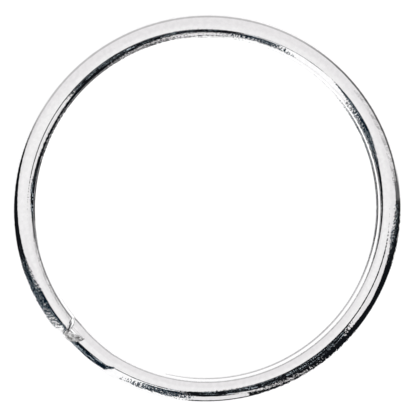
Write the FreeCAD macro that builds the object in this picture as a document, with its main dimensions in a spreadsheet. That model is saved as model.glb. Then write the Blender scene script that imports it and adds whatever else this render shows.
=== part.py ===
"""Split key ring: one flattened spring-steel wire wound into two coils, 35 mm across.

The ring lies flat. Z is the ring's axis, the origin is under its middle on the plane it lies on, and angles are
counted anticlockwise from +X as seen from +Z. The wire starts at the front coil's end, runs clockwise round the upper
(front) coil, drops through the crossover bend and runs clockwise again round the lower (rear) coil to its other end.
The wire is divided into named lengths, so that the coils can spring apart between them.
"""

import FreeCAD, Part

import math
import os

import Sketcher

# Driving dimensions: millimetres and degrees.
SIZES = {
    "outer_diameter": 35.0,
    "wire_width": 2.06,
    "wire_height": 1.65,
    "coil_gap": 0.05,
    "crest_shift": 0.22,
    "outer_nose_radius": 0.3,
    "inner_crown_radius": 0.91,
    "inner_corner_radius": 0.15,
    "front_end_angle": 222.5,
    "crossover_top_angle": 238.5,
    "rear_end_angle": 252.0,
    "free_step": 30.0,
    "base_step": 32.8,
    "last_rear_step": 30.5,
    "nose_taper_angle": 6.0,
    "nose_taper_depth": 0.35,
    "nose_corner_angle": 3.2,
    "nose_corner_depth": 0.75,
}
FREE_LENGTHS = 5  # lengths of the front coil that lift, besides the tip
BASE_LENGTHS = 5  # lengths of the front coil between the free ones and the crossover
REAR_LENGTHS = 10  # lengths of the rear coil, besides the tip
CROSSOVER_SECTIONS = 17
RAMP_FOOT = 0.3  # share of the crossover that bends up from the rear coil
RAMP_HEAD = 0.2  # share of it that bends level with the front coil
NOSE_CLEARANCE = 0.5  # how far the cuts at a tip reach outside the wire, in millimetres and in degrees
LEAST_CUT = 0.01  # the least share of a tip's volume that its cuts take away
FULL_TURN = 360.0
Z_AXIS = FreeCAD.Vector(0, 0, 1)
SKETCH_UP = FreeCAD.Vector(0, 1, 0)  # the ring's axis, as a sketch on the XZ plane sees it

doc = FreeCAD.newDocument("split_key_ring")


def add_sheet():
    """The spreadsheet of driving dimensions, each under its own alias."""
    sheet = doc.addObject("Spreadsheet::Sheet", "Sizes")
    for row, (name, value) in enumerate(SIZES.items(), start=1):
        sheet.set(f"A{row}", name)
        sheet.set(f"B{row}", str(value))
        sheet.setAlias(f"B{row}", name)
    doc.recompute()
    return sheet


sheet = add_sheet()
outer_radius = sheet.outer_diameter / 2
middle_radius = outer_radius - sheet.wire_width / 2
inner_radius = outer_radius - sheet.wire_width
REAR_MIDDLE = "Sizes.wire_height / 2"
FRONT_MIDDLE = "Sizes.wire_height * 1.5 + Sizes.coil_gap"


def origin_plane(body, role):
    """One of the body's own origin planes."""
    return next(plane for plane in body.Origin.OriginFeatures if plane.Role == role)


def arc(centre, radius, start, end):
    """An arc of a circle in a sketch, anticlockwise from start to end, in degrees."""
    circle = Part.Circle(FreeCAD.Vector(centre[0], centre[1], 0), Z_AXIS, radius)
    return Part.ArcOfCircle(circle, math.radians(start), math.radians(end))


def line(start, end):
    """A straight line in a sketch."""
    return Part.LineSegment(FreeCAD.Vector(*start, 0), FreeCAD.Vector(*end, 0))


def outline_sizes():
    """What follows from the driving sizes of the section: the outer crown's radius and how far each crown leans."""
    half_height, half_width = sheet.wire_height / 2, sheet.wire_width / 2
    nose, crown, corner = sheet.outer_nose_radius, sheet.inner_crown_radius, sheet.inner_corner_radius
    reach = half_width - nose + sheet.crest_shift
    outer_crown = (reach**2 + half_height**2 - nose**2) / (2 * (half_height - nose))
    outer_lean = math.degrees(math.atan2(reach, outer_crown - half_height))
    corner_reach = half_width - corner - sheet.crest_shift
    inner_lean = math.degrees(math.asin(corner_reach / (crown - corner)))
    corner_height = half_height - crown + (crown - corner) * math.cos(math.radians(inner_lean))
    return outer_crown, outer_lean, inner_lean, corner_height


def section(body, name, expression):
    """The wire's section on the XZ plane, with its middle at the height that the expression gives.

    Its two crowned faces have their crests nearer the inner side, as wire gets when it is wound on edge. The outer
    side is one round nose, and the inner side is upright between two small corners. Every joint is tangent.
    """
    middle = {REAR_MIDDLE: sheet.wire_height / 2, FRONT_MIDDLE: sheet.wire_height * 1.5 + sheet.coil_gap}[expression]
    sketch = body.newObject("Sketcher::SketchObject", name)
    sketch.AttachmentSupport = [(origin_plane(body, "XZ_Plane"), "")]
    sketch.MapMode = "FlatFace"
    half_height = sheet.wire_height / 2
    nose, crown, corner = sheet.outer_nose_radius, sheet.inner_crown_radius, sheet.inner_corner_radius
    outer_crown, outer_lean, inner_lean, corner_height = outline_sizes()
    crest_x, nose_x, corner_x = middle_radius - sheet.crest_shift, outer_radius - nose, inner_radius + corner
    top, bottom = middle + half_height, middle - half_height
    upper_corner, lower_corner = middle + corner_height, middle - corner_height
    pieces = [
        arc((nose_x, middle), nose, outer_lean - 90, 90 - outer_lean),
        arc((crest_x, top - outer_crown), outer_crown, 90 - outer_lean, 90),
        arc((crest_x, top - crown), crown, 90, 90 + inner_lean),
        arc((corner_x, upper_corner), corner, 90 + inner_lean, 180),
        line((inner_radius, upper_corner), (inner_radius, lower_corner)),
        arc((corner_x, lower_corner), corner, 180, 270 - inner_lean),
        arc((crest_x, bottom + crown), crown, 270 - inner_lean, 270),
        arc((crest_x, bottom + outer_crown), outer_crown, 270, 270 + outer_lean),
    ]
    sketch.addGeometry(pieces, False)
    round_nose, outer_top, inner_top, top_corner, inner_side, low_corner, inner_low, outer_low = range(8)
    start, end, centre = 1, 2, 3
    for index in range(len(pieces)):
        following = (index + 1) % len(pieces)
        sketch.addConstraint(Sketcher.Constraint("Tangent", index, end, following, start))
    sketch.addConstraint(Sketcher.Constraint("Vertical", inner_side))
    for one, other in ((outer_top, outer_low), (inner_top, inner_low), (top_corner, low_corner)):
        sketch.addConstraint(Sketcher.Constraint("Equal", one, other))
    across = "Sizes.outer_diameter / 2"
    crest_place = across + " - Sizes.wire_width / 2 - Sizes.crest_shift"
    bound = {
        "nose": (("Radius", round_nose, nose), "Sizes.outer_nose_radius"),
        "crown": (("Radius", inner_top, crown), "Sizes.inner_crown_radius"),
        "corner": (("Radius", top_corner, corner), "Sizes.inner_corner_radius"),
        "outer": (("DistanceX", -1, 1, round_nose, centre, nose_x), across + " - Sizes.outer_nose_radius"),
        "inner": (("DistanceX", -1, 1, inner_side, start, inner_radius), across + " - Sizes.wire_width"),
        "middle": (("DistanceY", -1, 1, round_nose, centre, middle), expression),
        "top": (("DistanceY", -1, 1, outer_top, end, top), f"{expression} + Sizes.wire_height / 2"),
    }
    for label, crown_arc in (("t_out", outer_top), ("t_in", inner_top), ("b_out", outer_low), ("b_in", inner_low)):
        bound["crest_" + label] = (("DistanceX", -1, 1, crown_arc, centre, crest_x), crest_place)
    for label, (constraint, size) in bound.items():
        index = sketch.addConstraint(Sketcher.Constraint(*constraint))
        sketch.renameConstraint(index, label)
        sketch.setExpression("Constraints." + label, size)
    return sketch


def add_length(label, start_angle, sweep, height):
    """One length of a coil: the section turned about Z through sweep, starting at start_angle. Both are expressions."""
    body = doc.addObject("PartDesign::Body", label)
    body.Label = label
    sketch = section(body, label + "_section", height)
    turned = body.newObject("PartDesign::Revolution", label + "_turn")
    turned.Profile = sketch
    turned.ReferenceAxis = (sketch, ["V_Axis"])
    turned.setExpression("Angle", sweep)
    sketch.Visibility = False
    body.Placement = FreeCAD.Placement(FreeCAD.Vector(), Z_AXIS, 0)
    body.setExpression("Placement.Rotation.Angle", start_angle)
    return body


def add_nose(body, end_angle, facing):
    """Cuts a tip's end in plan: a long taper on its outer edge and a bevel on its inner corner.

    end_angle is the angle of the cut end in the body's own frame, and facing is +1 if the wire ends anticlockwise.
    """
    past = NOSE_CLEARANCE
    taper_back = end_angle - facing * sheet.nose_taper_angle
    corner_back = end_angle - facing * sheet.nose_corner_angle
    outlines = (
        (
            (outer_radius, taper_back),
            (outer_radius - sheet.nose_taper_depth, end_angle),
            (outer_radius - sheet.nose_taper_depth, end_angle + facing * past),
            (outer_radius + past, end_angle + facing * past),
            (outer_radius + past, taper_back),
        ),
        (
            (inner_radius, corner_back),
            (inner_radius + sheet.nose_corner_depth, end_angle),
            (inner_radius + sheet.nose_corner_depth, end_angle + facing * past),
            (inner_radius - past, end_angle + facing * past),
            (inner_radius - past, corner_back),
        ),
    )
    sketch = body.newObject("Sketcher::SketchObject", body.Label + "_nose")
    sketch.AttachmentSupport = [(origin_plane(body, "XY_Plane"), "")]
    sketch.MapMode = "FlatFace"
    for outline in outlines:
        points = [
            (radius * math.cos(math.radians(angle)), radius * math.sin(math.radians(angle)))
            for radius, angle in outline
        ]
        first = sketch.GeometryCount
        for index, point in enumerate(points):
            sketch.addGeometry(line(point, points[(index + 1) % len(points)]), False)
        for index in range(len(points)):
            following = first + (index + 1) % len(points)
            sketch.addConstraint(Sketcher.Constraint("Coincident", first + index, 2, following, 1))
            sketch.addConstraint(Sketcher.Constraint("Block", first + index))
    cut = body.newObject("PartDesign::Pocket", body.Label + "_cut")
    cut.Profile = sketch
    cut.Type = "ThroughAll"
    cut.Reversed = True
    sketch.Visibility = False
    return cut


def ramp(share):
    """The wire's rise through the crossover, 0 to 1: a straight slope, with a long bend at its foot and a short one
    at its top.
    """
    whole = 1 - RAMP_FOOT / 2 - RAMP_HEAD / 2
    if share < RAMP_FOOT:
        return share**2 / (2 * RAMP_FOOT) / whole
    if share > 1 - RAMP_HEAD:
        return 1 - (1 - share) ** 2 / (2 * RAMP_HEAD) / whole
    return (share - RAMP_FOOT / 2) / whole


def add_crossover(label):
    """The bend that carries the wire from the rear coil up to the front coil: a loft through radial sections."""
    body = doc.addObject("PartDesign::Body", label)
    body.Label = label
    sections = []
    for index in range(CROSSOVER_SECTIONS):
        share = index / (CROSSOVER_SECTIONS - 1)
        sketch = section(body, f"{label}_section_{index + 1}", REAR_MIDDLE)
        rise = ramp(share)
        sketch.AttachmentOffset = FreeCAD.Placement(FreeCAD.Vector(), SKETCH_UP, 0)
        sketch.setExpression(
            "AttachmentOffset.Rotation.Angle",
            f"Sizes.front_end_angle + (Sizes.crossover_top_angle - Sizes.front_end_angle) * {share}",
        )
        sketch.setExpression("AttachmentOffset.Base.y", f"(Sizes.wire_height + Sizes.coil_gap) * {rise}")
        sketch.Visibility = False
        sections.append(sketch)
    loft = body.newObject("PartDesign::AdditiveLoft", label + "_loft")
    loft.Profile = sections[0]
    loft.Sections = sections[1:]
    loft.Ruled = False
    return body


def add_front_coil():
    """The front coil, from its free tip clockwise to the crossover's top."""
    bodies = []
    tip = add_length("front_tip", "Sizes.front_end_angle - Sizes.free_step", "Sizes.free_step", FRONT_MIDDLE)
    bodies.append((tip, sheet.free_step, 1))
    for number in range(1, FREE_LENGTHS + 1):
        start = f"Sizes.front_end_angle - {number + 1} * Sizes.free_step"
        length = add_length(f"front_coil_{number}", start, "Sizes.free_step", FRONT_MIDDLE)
        bodies.append((length, None, 0))
    base_start = f"Sizes.front_end_angle - {FREE_LENGTHS + 1} * Sizes.free_step"
    for number in range(1, BASE_LENGTHS + 1):
        start = f"{base_start} - {number} * Sizes.base_step"
        label = f"front_coil_{FREE_LENGTHS + number}"
        bodies.append((add_length(label, start, "Sizes.base_step", FRONT_MIDDLE), None, 0))
    return bodies


def add_rear_coil():
    """The rear coil, from its free tip anticlockwise to the crossover's bottom."""
    tip_start = f"Sizes.rear_end_angle - {FULL_TURN}"
    bodies = [(add_length("rear_tip", tip_start, "Sizes.free_step", REAR_MIDDLE), 0.0, -1)]
    for number in range(1, REAR_LENGTHS + 1):
        start = f"{tip_start} + {number} * Sizes.free_step"
        sweep = "Sizes.last_rear_step" if number == REAR_LENGTHS else "Sizes.free_step"
        bodies.append((add_length(f"rear_coil_{number}", start, sweep, REAR_MIDDLE), None, 0))
    return bodies


def check(bodies):
    """Stops if any object failed, or if any length isn't one valid solid."""
    for item in doc.Objects:
        if "Invalid" in item.State or "Error" in item.State:
            raise RuntimeError(f"{item.Label} failed: {item.State}")
    for body in bodies:
        shape = body.Shape
        if shape.isNull() or not shape.isValid() or len(shape.Solids) != 1:
            raise RuntimeError(f"{body.Label} is not one valid solid")


def build():
    """Makes every length of the wire, checks it and writes it."""
    lengths = add_front_coil() + add_rear_coil()
    crossover = add_crossover("crossover_bend")
    doc.recompute()
    whole = {body.Label: body.Shape.Volume for body, _, _ in lengths}
    for body, end_angle, facing in lengths:
        if facing:
            add_nose(body, end_angle, facing)
    doc.recompute()
    for body, _, facing in lengths:
        if facing and body.Shape.Volume > (1 - LEAST_CUT) * whole[body.Label]:
            raise RuntimeError(f"the nose of {body.Label} was not cut")
    bodies = [body for body, _, _ in lengths] + [crossover]
    check(bodies)
    os.makedirs("parts", exist_ok=True)
    for body in bodies:
        body.Shape.exportStep(f"parts/{body.Label}.step")
        box = body.Shape.BoundBox
        print(f"{body.Label}: {body.Shape.Volume:.3f} mm3, z {box.ZMin:.3f} to {box.ZMax:.3f}")


build()
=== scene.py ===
"""Looks of the split key ring: one flattened, nickel plated spring wire, wound into two coils."""
import math

import bpy
import numpy as np
from mathutils import Matrix, Vector


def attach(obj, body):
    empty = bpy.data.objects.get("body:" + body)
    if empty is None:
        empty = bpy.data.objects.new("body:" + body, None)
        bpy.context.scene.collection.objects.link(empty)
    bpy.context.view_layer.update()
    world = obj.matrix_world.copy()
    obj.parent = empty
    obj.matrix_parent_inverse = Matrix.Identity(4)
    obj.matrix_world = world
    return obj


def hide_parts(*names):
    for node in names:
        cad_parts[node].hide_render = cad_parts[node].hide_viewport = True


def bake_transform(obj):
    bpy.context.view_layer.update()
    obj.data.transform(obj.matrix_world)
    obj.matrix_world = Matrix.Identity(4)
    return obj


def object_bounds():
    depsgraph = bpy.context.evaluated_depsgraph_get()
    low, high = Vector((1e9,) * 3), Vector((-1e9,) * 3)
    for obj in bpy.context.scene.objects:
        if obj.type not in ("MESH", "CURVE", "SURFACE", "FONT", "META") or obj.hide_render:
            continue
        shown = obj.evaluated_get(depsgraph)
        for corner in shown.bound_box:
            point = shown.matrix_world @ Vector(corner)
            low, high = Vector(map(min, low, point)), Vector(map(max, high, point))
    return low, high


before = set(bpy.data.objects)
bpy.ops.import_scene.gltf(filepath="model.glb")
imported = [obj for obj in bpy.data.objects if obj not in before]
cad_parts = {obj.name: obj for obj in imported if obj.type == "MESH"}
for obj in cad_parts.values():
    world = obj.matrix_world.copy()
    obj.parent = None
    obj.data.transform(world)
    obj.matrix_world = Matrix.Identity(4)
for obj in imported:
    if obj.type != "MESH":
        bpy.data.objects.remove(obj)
cad_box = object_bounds()

MM = 0.001

# ---- The wire, in millimetres and degrees ----
# Places along the wire are degrees of turn from its front end. The wire runs clockwise seen from above.
FRONT_END_ANGLE = 222.5
WIRE_LENGTH = 690.5
MID_RADIUS = 16.47
FRONT_HEIGHT = 2.525
REAR_HEIGHT = 0.825
# Degrees between the rings of the mesh and between the rows of the table of heights; rings added at a bend.
STEP = 1.25
TABLE_STEP = 0.025
BEND_BEFORE = 1.5
BEND_AFTER = 2.0
BEND_RINGS = 8

# The jog: a slight bend where the front coil starts to dip, then the steep drop under the front end.
# Slopes are millimetres per millimetre, and the bends are rounded over CORNER degrees.
BEND_PLACE = 318.5
TAIL_PLACE = 330.5
DROP_PLACE = 344.3
LANDING_PLACE = 357.0
LANDED_PLACE = 361.0
BEND_SLOPE = 0.009
DROP_SLOPE_START = 0.03
CORNER = 1.0

# The rear coil sits a little to one side of the front one, fully so from REAR_SHIFT_FULL on.
REAR_SHIFT = 0.05
REAR_SHIFT_ANGLE = 205.0
REAR_SHIFT_FROM = 365.0
REAR_SHIFT_FULL = 450.0

# The section: crowned faces with their crest nearer the inner side, as a wire gets when it is wound on edge.
# The outer side comes to a round nose, and the inner side is upright with small corners.
HALF_WIDTH = 1.03
HALF_HEIGHT = 0.825
CREST = -0.22
NOSE_RADIUS = 0.3
INNER_CROWN = 0.91
INNER_CORNER = 0.15
NOSE_POINTS = 6
OUTER_CROWN_POINTS = 13
INNER_CROWN_POINTS = 9
CORNER_POINTS = 6
FINE_POINTS = 150

# A sheared end, in millimetres past the place where the wire nominally stops.
MM_PER_DEGREE = math.radians(1.0) * MID_RADIUS
# The inner corner is rounded, and its top edge rolls over.
CORNER_START = -1.3
CORNER_LENGTH = 0.8
CORNER_DEPTH = 0.95
CORNER_MOST = 0.96
ROLL_RADIUS = 0.75
ROLL_FULL = 0.3
# The outer side tapers, and then bends in.
TAPER_START = -1.4
TAPER_SLOPE = 0.17
BEND_START = -0.3
TAPER_BEND = 0.35
# The torn slope starts further back on the outer side. The torn material begins a little over and before
# the slope, and stays above TORN_ABOVE.
SLOPE_START = -0.65
SLOPE_SKEW = -0.43
SLOPE_STEEPNESS = 0.82
TORN_OVER = 0.12
TORN_BEFORE = 0.2
TORN_ABOVE = -0.5
# The front end lies over the ramp, a full turn further along the wire, and stays clear of it.
FULL_TURN = 360.0
CLEAR_OF_RAMP = 0.02
# How far the end piece goes past its nominal end, in degrees, and where its rings are close together.
END_ALLOWANCE = 3.2
END_LENGTH = 8.0
FINE_STEP = 0.125
EXACT_NORMALS_BEFORE = 0.5


def arc(centre, radius, start, end, count):
    """Points and normals on an arc of the section; angles are counted from upright, towards the outside."""
    angles = np.radians(np.linspace(start, end, count))
    x = centre[0] + radius * np.sin(angles)
    y = centre[1] + radius * np.cos(angles)
    return np.stack([x, y, np.sin(angles), np.cos(angles)], 1)


def section():
    """The closed outline, as rows of across, up and the normal.

    It starts underneath and goes round by the outer side.
    """
    nose_x = HALF_WIDTH - NOSE_RADIUS
    reach = nose_x - CREST
    outer_crown = (reach ** 2 + HALF_HEIGHT ** 2 - NOSE_RADIUS ** 2) / (2 * (HALF_HEIGHT - NOSE_RADIUS))
    outer_lean = math.degrees(math.atan2(reach, outer_crown - HALF_HEIGHT))
    corner_x = -HALF_WIDTH + INNER_CORNER
    inner_lean = math.degrees(math.asin((CREST - corner_x) / (INNER_CROWN - INNER_CORNER)))
    corner_y = HALF_HEIGHT - INNER_CROWN + (INNER_CROWN - INNER_CORNER) * math.cos(math.radians(inner_lean))
    top = np.concatenate([
        arc((nose_x, 0.0), NOSE_RADIUS, 90.0, outer_lean, NOSE_POINTS),
        arc((CREST, HALF_HEIGHT - outer_crown), outer_crown, outer_lean, 0.0, OUTER_CROWN_POINTS)[1:],
        arc((CREST, HALF_HEIGHT - INNER_CROWN), INNER_CROWN, 0.0, -inner_lean, INNER_CROWN_POINTS)[1:],
        arc((corner_x, corner_y), INNER_CORNER, -inner_lean, -90.0, CORNER_POINTS)[1:],
    ])
    side = np.array([[-HALF_WIDTH, 0.0, -1.0, 0.0]])
    underneath = (top * [1, -1, 1, -1])[::-1][:-1]
    outline = np.concatenate([top, side, underneath])
    return np.roll(outline, -int(np.argmin(outline[:, 1])), axis=0)


def lengths_round(outline):
    steps = np.linalg.norm(np.roll(outline[:, :2], -1, axis=0) - outline[:, :2], axis=1)
    return np.concatenate([[0.0], np.cumsum(steps)])


def finer(outline, count):
    """The same outline with points at even distances round it."""
    lengths = lengths_round(outline)
    closed = np.concatenate([outline, outline[:1]])
    wanted = np.linspace(0.0, lengths[-1], count + 1)[:-1]
    result = np.stack([np.interp(wanted, lengths, closed[:, column]) for column in range(4)], 1)
    result[:, 2:] /= np.linalg.norm(result[:, 2:], axis=1, keepdims=True)
    return result


SECTION = section()
FINE_SECTION = finer(SECTION, FINE_POINTS)
GIRTH = lengths_round(SECTION)


def ease(x):
    x = np.clip(x, 0.0, 1.0)
    return x * x * (3.0 - 2.0 * x)


def height_table():
    """The wire's height against the place along it: its slope, added up from place to place."""
    places = np.linspace(0.0, WIRE_LENGTH, round(WIRE_LENGTH / TABLE_STEP) + 1)
    knots = [0.0, BEND_PLACE, BEND_PLACE + CORNER, TAIL_PLACE, DROP_PLACE, WIRE_LENGTH]
    slight = np.interp(places, knots, [0.0, 0.0, BEND_SLOPE, BEND_SLOPE, DROP_SLOPE_START, 0.0])
    slight[places > DROP_PLACE] = 0.0
    steep_knots = [DROP_PLACE - CORNER, DROP_PLACE + CORNER, LANDING_PLACE, LANDED_PLACE]
    steep = np.interp(places, steep_knots, [0.0, 1.0, 1.0, 0.0])
    run = math.radians(places[1] - places[0]) * MID_RADIUS
    drop = FRONT_HEIGHT - REAR_HEIGHT
    steep *= (drop / run - slight.sum()) / steep.sum()
    slope = slight + steep
    heights = FRONT_HEIGHT - np.concatenate([[0.0], np.cumsum((slope[1:] + slope[:-1]) / 2) * run])
    return places, heights, slope


PLACES, HEIGHTS, SLOPES = height_table()


def wire_places(start, end):
    """Places for the rings of a length of wire, closer together at the two bends."""
    count = max(1, int(math.ceil((end - start) / STEP)))
    places = np.linspace(start, end, count + 1)
    for bend in (BEND_PLACE, DROP_PLACE):
        extra = np.linspace(bend - BEND_BEFORE, bend + BEND_AFTER, BEND_RINGS)
        places = np.concatenate([places, extra[(extra > start) & (extra < end)]])
    return np.unique(places)


def sweep(places, outline, across=None, rise=None):
    """Rings of points and normals of the wire at the given places, in metres."""
    angle = np.radians(FRONT_END_ANGLE - places)
    height = np.interp(places, PLACES, HEIGHTS)
    slope = np.arctan(np.interp(places, PLACES, SLOPES))
    outward = np.stack([np.cos(angle), np.sin(angle), 0 * angle], 1)
    along = np.stack([np.sin(angle), -np.cos(angle), 0 * angle], 1)
    up = along * np.sin(slope)[:, None] + np.array([0, 0, 1.0]) * np.cos(slope)[:, None]
    shift = REAR_SHIFT * ease((places - REAR_SHIFT_FROM) / (REAR_SHIFT_FULL - REAR_SHIFT_FROM))
    towards = math.radians(REAR_SHIFT_ANGLE)
    offset = np.stack([shift * math.cos(towards), shift * math.sin(towards), height], 1)
    middle = outward * MID_RADIUS + offset
    section_across, section_rise, across_n, rise_n = outline.T
    across = np.broadcast_to(section_across, (len(places), len(outline))) if across is None else across
    rise = np.broadcast_to(section_rise, (len(places), len(outline))) if rise is None else rise
    points = middle[:, None] + across[:, :, None] * outward[:, None] + rise[:, :, None] * up[:, None]
    normals = across_n[None, :, None] * outward[:, None] + rise_n[None, :, None] * up[:, None]
    return points * MM, normals


def sheared(places, points_across, heights, end, facing):
    """Shape the last few millimetres of the wire, where it was cut.

    The inner corner is rounded and its top edge rolls over, the outer side tapers, and the end itself is a
    torn slope that runs down to a thin foot. Facing is 1 for the front end, whose slope looks up, and -1 for
    the rear end, whose slope looks down. Returns the new positions across and up in the section, and where
    the surface is torn.
    """
    past = ((end - places) * facing * MM_PER_DEGREE)[:, None]
    rounded = np.clip((past - CORNER_START) / CORNER_LENGTH, 0.0, CORNER_MOST)
    left = np.sqrt(1.0 - rounded ** 2)
    inner = -HALF_WIDTH + CORNER_DEPTH * (1.0 - left)
    outer = HALF_WIDTH - TAPER_SLOPE * np.maximum(0.0, past - TAPER_START)
    outer -= TAPER_BEND * np.maximum(0.0, past - BEND_START) ** 2
    across = inner + (points_across + HALF_WIDTH) / (2 * HALF_WIDTH) * (outer - inner)
    rise = heights * facing
    lean = left / np.hypot(left, CORNER_DEPTH / CORNER_LENGTH * rounded)
    curled = np.maximum(0.0, ROLL_RADIUS - (across - inner) * lean)
    roll = ROLL_RADIUS - np.sqrt(np.maximum(0.0, ROLL_RADIUS ** 2 - curled ** 2))
    rolled = np.where(rise > 0.0, np.maximum(rise - roll * ease(rounded / ROLL_FULL), 0.0), rise)
    torn = HALF_HEIGHT - (past - SLOPE_START - SLOPE_SKEW * across) * SLOPE_STEEPNESS
    low = -HALF_HEIGHT
    if facing > 0:
        # The top of the ramp is as high as a disc of the wire's half height that rolls down the centre line.
        away = (FULL_TURN + places[:, None] - PLACES[None, :]) * MM_PER_DEGREE
        reach = np.sqrt(np.maximum(0.0, HALF_HEIGHT ** 2 - away ** 2))
        ramp_top = np.max(HEIGHTS[None, :] + reach, axis=1, where=reach > 0.0, initial=0.0)
        low = np.maximum(low, CLEAR_OF_RAMP + ramp_top - FRONT_HEIGHT)[:, None]
    is_torn = (torn < rolled + TORN_OVER) & (rise > TORN_ABOVE) & (past > SLOPE_START - TORN_BEFORE)
    return across, np.maximum(np.minimum(rolled, torn), low) * facing, is_torn


SMALLEST_AREA = 1e-14
SMALLEST_LENGTH = 1e-9


def grid_normals(points):
    """Normals of a grid of points that is closed round the second axis."""
    along = np.gradient(points, axis=0)
    around = np.roll(points, -1, axis=1) - np.roll(points, 1, axis=1)
    normals = np.cross(around, along)
    size = np.linalg.norm(normals, axis=2, keepdims=True)
    return np.where(size > SMALLEST_AREA, normals / np.maximum(size, SMALLEST_AREA), [0.0, 0.0, 1.0])


def end_shape(place_list, cut_end):
    """Rings, normals and the torn places of a piece that ends where the wire was cut."""
    fine_start = place_list[0] if cut_end > 0 else place_list[-1] - END_LENGTH
    fine = np.arange(fine_start, fine_start + END_LENGTH + FINE_STEP / 2, FINE_STEP)
    place_list = np.unique(np.round(np.concatenate([place_list, fine]), 4))
    nominal = 0.0 if cut_end > 0 else WIRE_LENGTH
    across, rise, _, _ = FINE_SECTION.T
    across, rise, torn = sheared(place_list, across[None, :], rise[None, :], nominal, cut_end)
    points, normals = sweep(place_list, FINE_SECTION, across, rise)
    past = (nominal - place_list) * cut_end * MM_PER_DEGREE
    shaped = ease((past - TAPER_START + EXACT_NORMALS_BEFORE) / EXACT_NORMALS_BEFORE)[:, None, None]
    normals = normals * (1.0 - shaped) + grid_normals(points) * shaped
    normals /= np.maximum(np.linalg.norm(normals, axis=2, keepdims=True), SMALLEST_LENGTH)
    return place_list, points, normals, torn


def way_out(points, ring, neighbour):
    """The normal of the flat cap on a ring, away from the neighbouring ring.

    Any three points of the ring give its plane.
    """
    way = np.cross(points[ring, 1] - points[ring, 0], points[ring, 5] - points[ring, 0])
    way /= np.linalg.norm(way)
    outside = np.dot(way, points[ring].mean(0) - points[neighbour].mean(0))
    return way if outside >= 0 else -way


def length_of_wire(name, start, end, cut_end=0):
    """A closed piece of the wire, with its UV map running along it and its exact normals.

    Cut_end is 1 where the piece has the wire's front end, and -1 where it has the rear end.
    """
    place_list = wire_places(start, end)
    section_points = SECTION
    torn = None
    if cut_end:
        section_points = FINE_SECTION
        place_list, points, normals, torn = end_shape(place_list, cut_end)
    else:
        points, normals = sweep(place_list, section_points)
    rings, around = points.shape[:2]
    first = np.arange(rings - 1)[:, None] * around + np.arange(around)[None, :]
    second = np.arange(rings - 1)[:, None] * around + np.roll(np.arange(around), -1)[None, :]
    quads = np.stack([first, second, second + around, first + around], 2).reshape(-1, 4).tolist()
    last = (rings - 1) * around
    caps = [list(range(around))[::-1], [last + k for k in range(around)]]
    mesh = bpy.data.meshes.new(name)
    mesh.from_pydata(points.reshape(-1, 3).tolist(), [], quads + caps)
    girth = lengths_round(section_points)
    girth = girth / girth[-1]
    along = place_list / WIRE_LENGTH
    coordinates = []
    for i in range(rings - 1):
        for k in range(around):
            coordinates += [(along[i], girth[k]), (along[i], girth[k + 1])]
            coordinates += [(along[i + 1], girth[k + 1]), (along[i + 1], girth[k])]
    for ring, cap in ((0, caps[0]), (rings - 1, caps[1])):
        coordinates += [(along[ring], girth[k % around]) for k in cap]
    layer = mesh.uv_layers.new(name="wire")
    layer.data.foreach_set("uv", np.array(coordinates, dtype=np.float32).ravel())
    first_cap = np.tile(way_out(points, 0, 1), (around, 1))
    last_cap = np.tile(way_out(points, -1, -2), (around, 1))
    side = normals.reshape(-1, 3)[np.array(quads).ravel()]
    mesh.polygons.foreach_set("use_smooth", [True] * len(mesh.polygons))
    if torn is not None:
        rough = torn[:-1] & torn[1:]
        indices = np.concatenate([rough.ravel(), [cut_end > 0, cut_end < 0]]).astype(np.int32)
        mesh.polygons.foreach_set("material_index", indices)
    mesh.normals_split_custom_set(np.concatenate([side, first_cap, last_cap]).tolist())
    piece = bpy.data.objects.new(name, mesh)
    bpy.context.scene.collection.objects.link(piece)
    return piece


# ---- Materials ----
class Nodes:
    """A short way to wire up shader nodes."""

    def __init__(self, tree):
        self.tree = tree
        tree.nodes.clear()

    def add(self, kind, inputs=(), **settings):
        node = self.tree.nodes.new(kind)
        for name, value in settings.items():
            setattr(node, name, value)
        for socket, value in dict(inputs).items():
            self.put(node.inputs[socket], value)
        return node

    def put(self, socket, value):
        if isinstance(value, bpy.types.NodeSocket):
            self.tree.links.new(value, socket)
        else:
            socket.default_value = value

    def math(self, operation, *values, clamp=False):
        node = self.tree.nodes.new("ShaderNodeMath")
        node.operation = operation
        node.use_clamp = clamp
        for socket, value in zip(node.inputs, values):
            self.put(socket, value)
        return node.outputs[0]

    def step(self, value, start, end):
        """0 before start and 1 after end, smooth between. Start may be above end, for a falling step."""
        node = self.tree.nodes.new("ShaderNodeMapRange")
        node.interpolation_type = "SMOOTHSTEP"
        self.put(node.inputs["Value"], value)
        self.put(node.inputs["From Min"], start)
        self.put(node.inputs["From Max"], end)
        return node.outputs["Result"]

    def mix(self, factor, a, b):
        node = self.tree.nodes.new("ShaderNodeMix")
        node.data_type = "RGBA"
        self.put(node.inputs["Factor"], factor)
        self.put(node.inputs["A"], a)
        self.put(node.inputs["B"], b)
        return node.outputs["Result"]

    def noise(self, vector, scale, detail=2.0, roughness=0.5):
        node = self.add("ShaderNodeTexNoise", {"Vector": vector, "Scale": scale, "Detail": detail,
                                               "Roughness": roughness})
        return node.outputs["Fac"]


LENGTH_MM = math.radians(WIRE_LENGTH) * MID_RADIUS
GIRTH_MM = float(GIRTH[-1])
TOP_CREST = float(GIRTH[int(np.argmax(SECTION[:, 1]))]) / GIRTH_MM

# Stretches where the sides of the wire are grainy, as places along it.
GRAINY_OUTSIDE = ((-10.0, 27.0), (222.0, 239.0), (262.0, 297.0), (318.0, 340.0), (420.0, 520.0))
GRAINY_INSIDE = ((60.0, 80.0), (98.0, 160.0), (184.0, 206.0), (480.0, 560.0))
GRAIN_FADE = 3.0
# Grain starts and is full this far from a crest, in millimetres.
GRAIN_FROM = 0.33
GRAIN_FULL = 0.6
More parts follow.
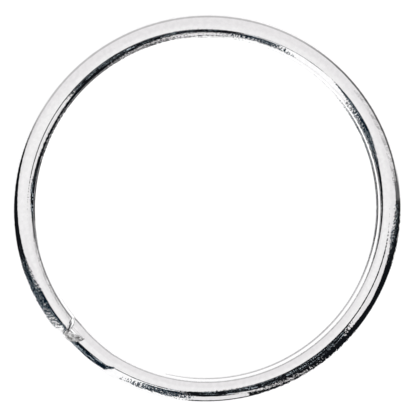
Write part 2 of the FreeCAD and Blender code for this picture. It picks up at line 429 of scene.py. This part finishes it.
# The heights of the reliefs against each other, and the metres that a height of 1 stands for.
GRAIN_HEIGHT = 8.0
EVEN_GRAIN = 0.8
DRAWN_HEIGHT = 0.3
PEEL_HEIGHT = 0.8
ALONG_STRETCH = 0.1
PLATING_RELIEF = 3.5e-6
POLISHED = 0.02
DARKER_PLATE = (0.86, 0.86, 0.87, 1.0)
LIGHTER_PLATE = (0.90, 0.90, 0.91, 1.0)
# The torn face: its relief in metres, the painted shade in the low parts of its relief and the bright metal
# on its high parts, its least roughness and what is added.
TORN_RELIEF = 0.0003
TORN_PIT_SHADE = (0.28, 0.27, 0.27, 1.0)
TORN_BRIGHT = (1.0, 1.0, 1.0, 1.0)
TORN_ROUGHNESS = 0.25
TORN_VARIES = 0.2


def plated_wire():
    """Bright nickel: drawing lines along the wire, a faint orange peel, and grain on parts of its sides."""
    material = bpy.data.materials.new("plated_wire")
    material.use_nodes = True
    n = Nodes(material.node_tree)
    uv = n.add("ShaderNodeUVMap", uv_map="wire").outputs["UV"]
    parts = n.add("ShaderNodeSeparateXYZ", {0: uv})
    place = n.math("MULTIPLY", parts.outputs[0], WIRE_LENGTH)
    turn = parts.outputs[1]
    in_mm = n.add("ShaderNodeMapping", {"Vector": uv, "Scale": (LENGTH_MM, GIRTH_MM, 1.0)}).outputs[0]
    stretched = n.add("ShaderNodeMapping", {"Vector": in_mm, "Scale": (ALONG_STRETCH, 1.0, 1.0)}).outputs[0]
    drawn = n.noise(stretched, 7.0, 3.0, 0.6)
    peel = n.noise(in_mm, 2.4, 2.0, 0.5)
    grain = n.noise(in_mm, 4.5, 1.0, 0.5)

    def stretches(pairs):
        total = 0.0
        for start, end in pairs:
            rise = n.step(place, start - GRAIN_FADE, start + GRAIN_FADE)
            fall = n.step(place, end + GRAIN_FADE, end - GRAIN_FADE)
            total = n.math("ADD", total, n.math("MULTIPLY", rise, fall))
        return total

    outside = n.math("LESS_THAN", turn, TOP_CREST)
    inside = n.math("SUBTRACT", 1.0, outside)
    grainy = n.math("ADD", n.math("MULTIPLY", outside, stretches(GRAINY_OUTSIDE)),
                    n.math("MULTIPLY", inside, stretches(GRAINY_INSIDE)))
    from_top = n.math("ABSOLUTE", n.math("SUBTRACT", turn, TOP_CREST))
    from_bottom = n.math("MINIMUM", turn, n.math("SUBTRACT", 1.0, turn))
    off_crest = n.math("MULTIPLY", n.math("MINIMUM", from_top, from_bottom), GIRTH_MM)
    grainy = n.math("MULTIPLY", grainy, n.step(off_crest, GRAIN_FROM, GRAIN_FULL))
    strength = n.math("ADD", EVEN_GRAIN, n.math("MULTIPLY", grainy, GRAIN_HEIGHT))
    height = n.math("ADD", n.math("MULTIPLY", drawn, DRAWN_HEIGHT), n.math("MULTIPLY", peel, PEEL_HEIGHT))
    height = n.math("ADD", height, n.math("MULTIPLY", n.math("SUBTRACT", grain, 0.5), strength))
    bump = n.add("ShaderNodeBump", {"Height": height, "Strength": 1.0, "Distance": PLATING_RELIEF})
    tone = n.mix(n.step(peel, 0.3, 0.7), DARKER_PLATE, LIGHTER_PLATE)
    roughness = n.math("ADD", POLISHED, n.math("MULTIPLY", grainy, POLISHED))
    shader = n.add("ShaderNodeBsdfPrincipled", {
        "Base Color": tone, "Metallic": 1.0, "Roughness": roughness, "Normal": bump.outputs[0]})
    output = n.add("ShaderNodeOutputMaterial")
    n.put(output.inputs["Surface"], shader.outputs[0])
    return material


def sheared_end():
    """The torn face where the wire was cut, plated over."""
    material = bpy.data.materials.new("sheared_end")
    material.use_nodes = True
    n = Nodes(material.node_tree)
    place = n.add("ShaderNodeTexCoord").outputs["Object"]
    place = n.add("ShaderNodeMapping", {"Vector": place, "Scale": (1.0 / MM,) * 3}).outputs[0]
    coarse = n.noise(place, 3.2, 2.0, 0.6)
    fine = n.noise(place, 7.0, 2.0, 0.6)
    height = n.math("ADD", coarse, n.math("MULTIPLY", fine, 0.4))
    bump = n.add("ShaderNodeBump", {"Height": height, "Strength": 1.0, "Distance": TORN_RELIEF})
    # Painted shade: the low parts of the relief get the dark colour and the high parts the bright one.
    tone = n.mix(n.step(coarse, 0.36, 0.47), TORN_PIT_SHADE, TORN_BRIGHT)
    roughness = n.math("ADD", TORN_ROUGHNESS, n.math("MULTIPLY", fine, TORN_VARIES))
    shader = n.add("ShaderNodeBsdfPrincipled", {
        "Base Color": tone, "Metallic": 1.0, "Roughness": roughness, "Normal": bump.outputs[0]})
    output = n.add("ShaderNodeOutputMaterial")
    n.put(output.inputs["Surface"], shader.outputs[0])
    return material


# ---- The pieces ----
plated = plated_wire()
torn_face = sheared_end()
# Bodies of the two openings in their order along the wire, and the places of their hinges.
HINGE_STEP = 30.0
HALF_COIL = 180.0
FRONT_LENGTHS = [(f"front_part_{n}", n * HINGE_STEP) for n in range(2, 6)]
FRONT_LENGTHS.append(("crossover_part", HALF_COIL))
REAR_LENGTHS = [(f"rear_part_{n}", WIRE_LENGTH - (n + 1) * HINGE_STEP) for n in range(9, 5, -1)]
REAR_LENGTHS.append(("rear_free_half", WIRE_LENGTH - HALF_COIL))
# A hinge's bend is spread over this much wire on both sides of it.
HALF_HINGE = 15.0
CROSSOVER_MARGIN = 5.0
REAR_END_LENGTH = 30.0


def finish_piece(piece, nodes):
    piece.data.materials.append(plated)
    piece.data.materials.append(torn_face)
    if nodes:
        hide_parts(*nodes)


def rigid(name, start, end, body, nodes, cut_end=0):
    piece = length_of_wire(name, start, end, cut_end)
    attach(piece, body)
    finish_piece(piece, nodes)
    return piece


def hinged(name, hinge, nodes):
    piece = length_of_wire(name, hinge - HALF_HINGE, hinge + HALF_HINGE)
    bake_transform(piece)
    finish_piece(piece, nodes)
    return piece


def build_wire():
    first_hinge = FRONT_LENGTHS[0][1]
    rigid("wire_front_end", -END_ALLOWANCE, first_hinge - HALF_HINGE, "front_end_part",
          ["front_tip", "front_coil_1"], 1)
    for number, (body, hinge) in enumerate(FRONT_LENGTHS, start=2):
        hinged(f"wire_front_twist_{number}", hinge, [f"front_coil_{number}"])
    last_front = FRONT_LENGTHS[-1][1] + HALF_HINGE
    crossover_start = BEND_PLACE - CROSSOVER_MARGIN
    rigid("wire_front_coil", last_front, crossover_start, "crossover_part",
          [f"front_coil_{n}" for n in range(7, 11)])
    rigid("wire_crossover", crossover_start, REAR_LENGTHS[0][1] - HALF_HINGE, "crossover_part",
          ["crossover_bend"])
    for number, (body, hinge) in enumerate(REAR_LENGTHS):
        hinged(f"wire_rear_twist_{10 - number}", hinge, [f"rear_coil_{10 - number}"])
    last_rear = REAR_LENGTHS[-1][1] + HALF_HINGE
    rear_end_start = WIRE_LENGTH - REAR_END_LENGTH
    rigid("wire_rear_coil", last_rear, rear_end_start, "rear_free_half",
          [f"rear_coil_{n}" for n in range(2, 6)])
    rigid("wire_rear_end", rear_end_start, WIRE_LENGTH + END_ALLOWANCE, "rear_free_half",
          ["rear_coil_1", "rear_tip"], -1)


build_wire()


# ---- The surroundings: what the bright wire mirrors ----
# Each thing is placed by its turn, the angle round Z from +X, and its tilt, the angle from straight up.
LIT = (0.90, 0.882, 0.885, 1.0)
OVERHEAD = (0.97, 0.96, 0.955, 1.0)
PALE = (0.99, 0.98, 0.975, 1.0)
BRIGHT = (1.12, 1.115, 1.11, 1.0)
BLACK = (0.006, 0.007, 0.009, 1.0)
BLUE = (0.004, 0.011, 0.020, 1.0)
GLINT = (0.95, 1.10, 1.20, 1.0)
BACKDROP = (1.0, 1.0, 1.0, 1.0)
HORIZON = 90.0
# How dark the tent's seams, its corner and the table's edge get: 1 is black.
# The edge is fainter further round.
SEAM_DARK = 0.55
CORNER_DARK = 0.85
EDGE_DARK = (0.85, 0.85, 0.85, 1.0)
FAR_EDGE_DARK = (0.35, 0.35, 0.35, 1.0)


class Surroundings(Nodes):
    """Masks in terms of turn and tilt, in degrees."""

    def __init__(self, tree):
        super().__init__(tree)
        direction = self.add("ShaderNodeTexCoord").outputs["Generated"]
        direction = self.add("ShaderNodeVectorMath", {0: direction}, operation="NORMALIZE").outputs[0]
        x, y, z = self.add("ShaderNodeSeparateXYZ", {0: direction}).outputs
        round_z = self.math("DEGREES", self.math("ARCTAN2", y, x))
        self.turn = self.math("MODULO", self.math("ADD", round_z, 360.0), 360.0)
        self.tilt = self.math("DEGREES", self.math("ARCCOSINE", z))
        flat = self.add("ShaderNodeCombineXYZ", {0: self.turn, 1: self.math("MULTIPLY", self.tilt, 0.16)})
        self.specks = self.step(self.noise(flat.outputs[0], 0.55, 2.0, 0.7), 0.60, 0.63)

    def both(self, *masks):
        result = masks[0]
        for mask in masks[1:]:
            result = self.math("MULTIPLY", result, mask)
        return result

    def opposite(self, mask):
        return self.math("SUBTRACT", 1.0, mask)

    def between(self, value, start, end, soft=3.0):
        """1 between start and end, soft at both. Start and end may themselves vary."""
        rise = self.step(self.math("SUBTRACT", value, start), -soft / 2, soft / 2)
        fall = self.step(self.math("SUBTRACT", end, value), -soft / 2, soft / 2)
        return self.both(rise, fall)

    def line(self, value, slope, level):
        """A limit that changes evenly with turn or tilt."""
        return self.math("ADD", self.math("MULTIPLY", value, slope), level)

    def slanted(self, turns, tilts):
        """A tilt that changes evenly with turn, from one pair of values to the other."""
        slope = (tilts[1] - tilts[0]) / (turns[1] - turns[0])
        return self.line(self.turn, slope, tilts[0] - turns[0] * slope)


def tent(n):
    """The lit tent: lighter overhead and on two sides, with faint dark seams on a third."""
    colour = n.mix(n.step(n.tilt, 35.0, 8.0), LIT, OVERHEAD)
    pale_side = n.both(n.between(n.turn, 145.0, 200.0, soft=30.0), n.step(n.tilt, 70.0, 40.0))
    colour = n.mix(pale_side, colour, PALE)
    bright_side = n.both(n.between(n.turn, 226.0, 262.0, soft=10.0), n.step(n.tilt, 18.0, 32.0))
    colour = n.mix(bright_side, colour, BRIGHT)
    only_turn = n.add("ShaderNodeCombineXYZ", {0: n.turn}).outputs[0]
    seams = n.step(n.noise(only_turn, 0.6, 2.0, 0.6), 0.42, 0.6)
    from_middle = n.math("ABSOLUTE", n.math("SUBTRACT", n.turn, 16.0))
    seams = n.both(n.step(from_middle, 18.0, 12.0), n.between(n.tilt, 48.0, 92.0, soft=12.0),
                   n.math("MULTIPLY", seams, SEAM_DARK))
    return n.mix(seams, colour, BLACK)


def table_and_edge(n, colour):
    """The white table, and its dark far edge, which is fainter further round."""
    colour = n.mix(n.step(n.tilt, HORIZON + 1.0, HORIZON + 9.0), colour, BRIGHT)
    edge = n.both(n.between(n.tilt, HORIZON - 11.0, HORIZON + 7.0, soft=6.0),
                  n.between(n.turn, 2.0, 165.0, soft=8.0))
    strength = n.mix(n.step(n.turn, 36.0, 62.0), EDGE_DARK, FAR_EDGE_DARK)
    return n.mix(n.math("MULTIPLY", edge, strength), colour, BLACK)


def left_opening(n, colour):
    """A dark opening that climbs from the horizon. It turns blue and specked on its right."""
    top = n.math("MINIMUM", n.slanted((155.0, 200.0), (89.0, 55.0)), n.slanted((200.0, 218.0), (55.0, 26.0)))
    top = n.math("MAXIMUM", top, 24.0)
    foot = n.math("MINIMUM", n.slanted((150.0, 190.0), (95.0, 104.0)), 107.0)
    right = n.math("MAXIMUM", n.line(n.tilt, -0.5, 253.0), 222.5)
    opening = n.both(n.between(n.tilt, top, foot, soft=4.0), n.between(n.turn, 140.0, right, soft=2.0),
                     n.step(n.turn, 142.0, 168.0))
    shade = n.mix(n.step(n.turn, 196.0, 210.0), BLACK, BLUE)
    shade = n.mix(n.both(n.step(n.turn, 194.0, 208.0), n.specks), shade, GLINT)
    return n.mix(opening, colour, shade)


def hedge(n, colour):
    """A blue hedge with specks of light, between the left opening and the right side, and its upper rim."""
    start = n.line(n.tilt, -0.18, 262.0)
    leaves = n.both(n.between(n.turn, start, 268.0, soft=2.0), n.between(n.tilt, 36.0, 88.0, soft=4.0))
    rim = n.both(n.between(n.turn, 242.0, 268.0, soft=4.0), n.between(n.tilt, 26.0, 31.0, soft=3.0))
    return n.mix(n.math("MAXIMUM", leaves, rim), colour, n.mix(n.specks, BLUE, GLINT))


def room(n, colour):
    """The dark side of the room, on the right, with a window, a lamp, a lit side and shrubs."""
    top = n.math("MAXIMUM", n.slanted((258.0, 296.0), (34.0, 12.0)), n.slanted((336.0, 352.0), (14.0, 50.0)))
    top = n.math("MAXIMUM", top, 12.0)
    dark = n.both(n.between(n.tilt, top, 112.0, soft=4.0), n.between(n.turn, 268.0, 358.0, soft=2.0))
    peak = n.math("SUBTRACT", 61.0, n.math("ABSOLUTE", n.math("SUBTRACT", n.turn, 328.0)))
    window = n.both(n.between(n.turn, 318.0, 344.0, soft=1.5), n.between(n.tilt, 21.0, peak, soft=2.0))
    lamp = n.both(n.between(n.turn, n.line(n.tilt, 0.5, 254.4), n.line(n.tilt, 0.5, 259.6), soft=1.2),
                  n.between(n.tilt, 50.0, 90.0, soft=6.0))
    side = n.both(n.between(n.turn, 266.0, 285.0, soft=1.5), n.between(n.tilt, 60.0, 98.0, soft=3.0))
    light = n.math("ADD", window, n.math("ADD", side, lamp), clamp=True)
    low = n.both(n.between(n.turn, 276.0, 318.0, soft=6.0), n.between(n.tilt, 18.0, 52.0, soft=8.0))
    high = n.both(n.between(n.turn, 344.0, 358.0, soft=4.0), n.between(n.tilt, 40.0, 75.0, soft=10.0))
    shrubs = n.both(n.math("MAXIMUM", low, high), n.specks)
    return n.mix(n.both(dark, n.opposite(light)), colour, n.mix(shrubs, BLACK, GLINT))


def corner(n, colour):
    """The dark corner where the right side meets the tent, at turn 0."""
    wrapped = n.math("MAXIMUM", n.step(n.turn, 355.0, 357.0), n.step(n.turn, 9.0, 0.0))
    mask = n.both(wrapped, n.between(n.tilt, 62.0, 108.0, soft=6.0))
    return n.mix(n.math("MULTIPLY", mask, CORNER_DARK), colour, BLACK)


def surroundings():
    world = bpy.data.worlds.new("studio")
    bpy.context.scene.world = world
    world.use_nodes = True
    n = Surroundings(world.node_tree)
    colour = tent(n)
    for thing in (table_and_edge, left_opening, hedge, room, corner):
        colour = thing(n, colour)
    # The wire mirrors all this, but behind the table the camera sees a plain pale backdrop.
    seen_directly = n.add("ShaderNodeLightPath").outputs["Is Camera Ray"]
    colour = n.mix(seen_directly, colour, BACKDROP)
    background = n.add("ShaderNodeBackground", {"Color": colour, "Strength": 1.0})
    output = n.add("ShaderNodeOutputWorld")
    n.put(output.inputs["Surface"], background.outputs[0])


surroundings()


# ---- The floor ----
FLOOR_HALF = 1.5
FLOOR_TONES = ((0.90, 0.90, 0.90, 1.0), (0.92, 0.92, 0.92, 1.0))
FLOOR_GLOW = 0.6


def floor():
    """A plain pale table. The wire mirrors the table of the surroundings instead: glossy rays skip this."""
    mesh = bpy.data.meshes.new("floor")
    signs = ((-1, -1), (1, -1), (1, 1), (-1, 1))
    corners = [(x * FLOOR_HALF, y * FLOOR_HALF, 0) for x, y in signs]
    mesh.from_pydata(corners, [], [(0, 1, 2, 3)])
    table = bpy.data.objects.new("floor", mesh)
    table.location.z = cad_box[0][2]
    bpy.context.scene.collection.objects.link(table)
    material = bpy.data.materials.new("floor")
    material.use_nodes = True
    n = Nodes(material.node_tree)
    position = n.add("ShaderNodeTexCoord").outputs["Object"]
    tone = n.mix(n.noise(position, 40.0), *FLOOR_TONES)
    shader = n.add("ShaderNodeBsdfPrincipled", {
        "Base Color": tone, "Roughness": 0.9, "Specular IOR Level": 0.0,
        "Emission Color": (1.0, 1.0, 1.0, 1.0), "Emission Strength": FLOOR_GLOW})
    output = n.add("ShaderNodeOutputMaterial")
    n.put(output.inputs["Surface"], shader.outputs[0])
    mesh.materials.append(material)
    table.visible_glossy = False


floor()

# ---- The camera ----
TARGET = Vector((-0.072 * MM, 0.184 * MM, FRONT_HEIGHT * MM))
CAMERA_TILT = 6.1
CAMERA_TURN = 131.0
CAMERA_DISTANCE = 125.0 * MM
LENS = 120.6


def camera():
    tilt, turn = math.radians(CAMERA_TILT), math.radians(CAMERA_TURN)
    back = Vector((math.sin(tilt) * math.cos(turn), math.sin(tilt) * math.sin(turn), math.cos(tilt)))
    right = Vector((0, 1, 0)).cross(back).normalized()
    up = back.cross(right)
    data = bpy.data.cameras.new("camera")
    data.lens = LENS
    data.clip_start = 0.005
    data.clip_end = 20.0
    view = bpy.data.objects.new("camera", data)
    rotation = Matrix((right, up, back)).transposed().to_4x4()
    view.matrix_world = Matrix.Translation(TARGET + back * CAMERA_DISTANCE) @ rotation
    bpy.context.scene.collection.objects.link(view)
    bpy.context.scene.camera = view


camera()
bpy.context.scene.view_settings.view_transform = "Standard"
bpy.context.scene.view_settings.look = "None"
